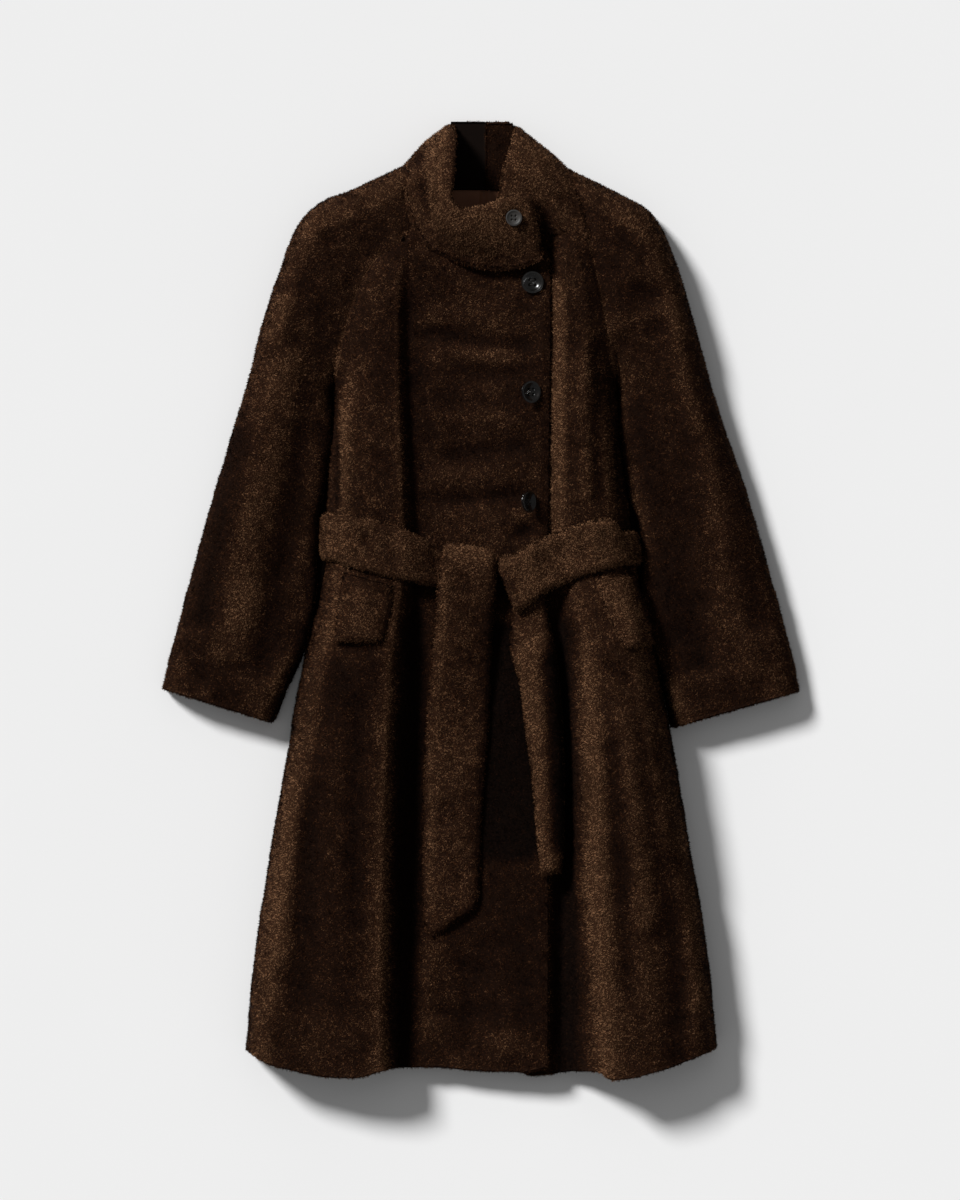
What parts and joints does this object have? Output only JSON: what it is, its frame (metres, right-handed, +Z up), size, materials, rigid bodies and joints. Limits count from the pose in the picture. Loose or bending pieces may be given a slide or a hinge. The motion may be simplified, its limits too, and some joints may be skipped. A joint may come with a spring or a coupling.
{
  "type": "coat",
  "caption": "Long wool pile coat laid flat, with raglan sleeves, a buttoned funnel collar, an overlapping front, slanted pocket welts and a knotted tie belt.",
  "frame": {"origin": "on the surface that the coat lies on, below the middle of its bounding box", "axes": "+Z up, out of the coat's front; +Y from the hem to the collar; +X to the wearer's left"},
  "size_m": [0.787, 1.18, 0.0892],
  "materials": {
    "brown_pile": "deep matte wool pile",
    "brown_satin": "smooth lining",
    "dark_gloss_button": "gloss",
    "grey_matte_button": "matte"
  },
  "bodies": {
    "root": {"back": "brown_pile", "front_right": "brown_pile", "front_left": "brown_pile", "sleeve_right": "brown_pile", "sleeve_left": "brown_pile", "collar": "brown_pile", "lining": "brown_satin", "belt_right": "brown_pile", "belt_left": "brown_pile", "belt_back": "brown_pile", "tail_front": "brown_pile", "tail_rear": "brown_pile", "welt_right": "brown_pile", "welt_left": "brown_pile", "button_top": "dark_gloss_button", "button_middle": "dark_gloss_button", "button_low": "dark_gloss_button", "button_tab": "grey_matte_button"}
  },
  "joints": []
}
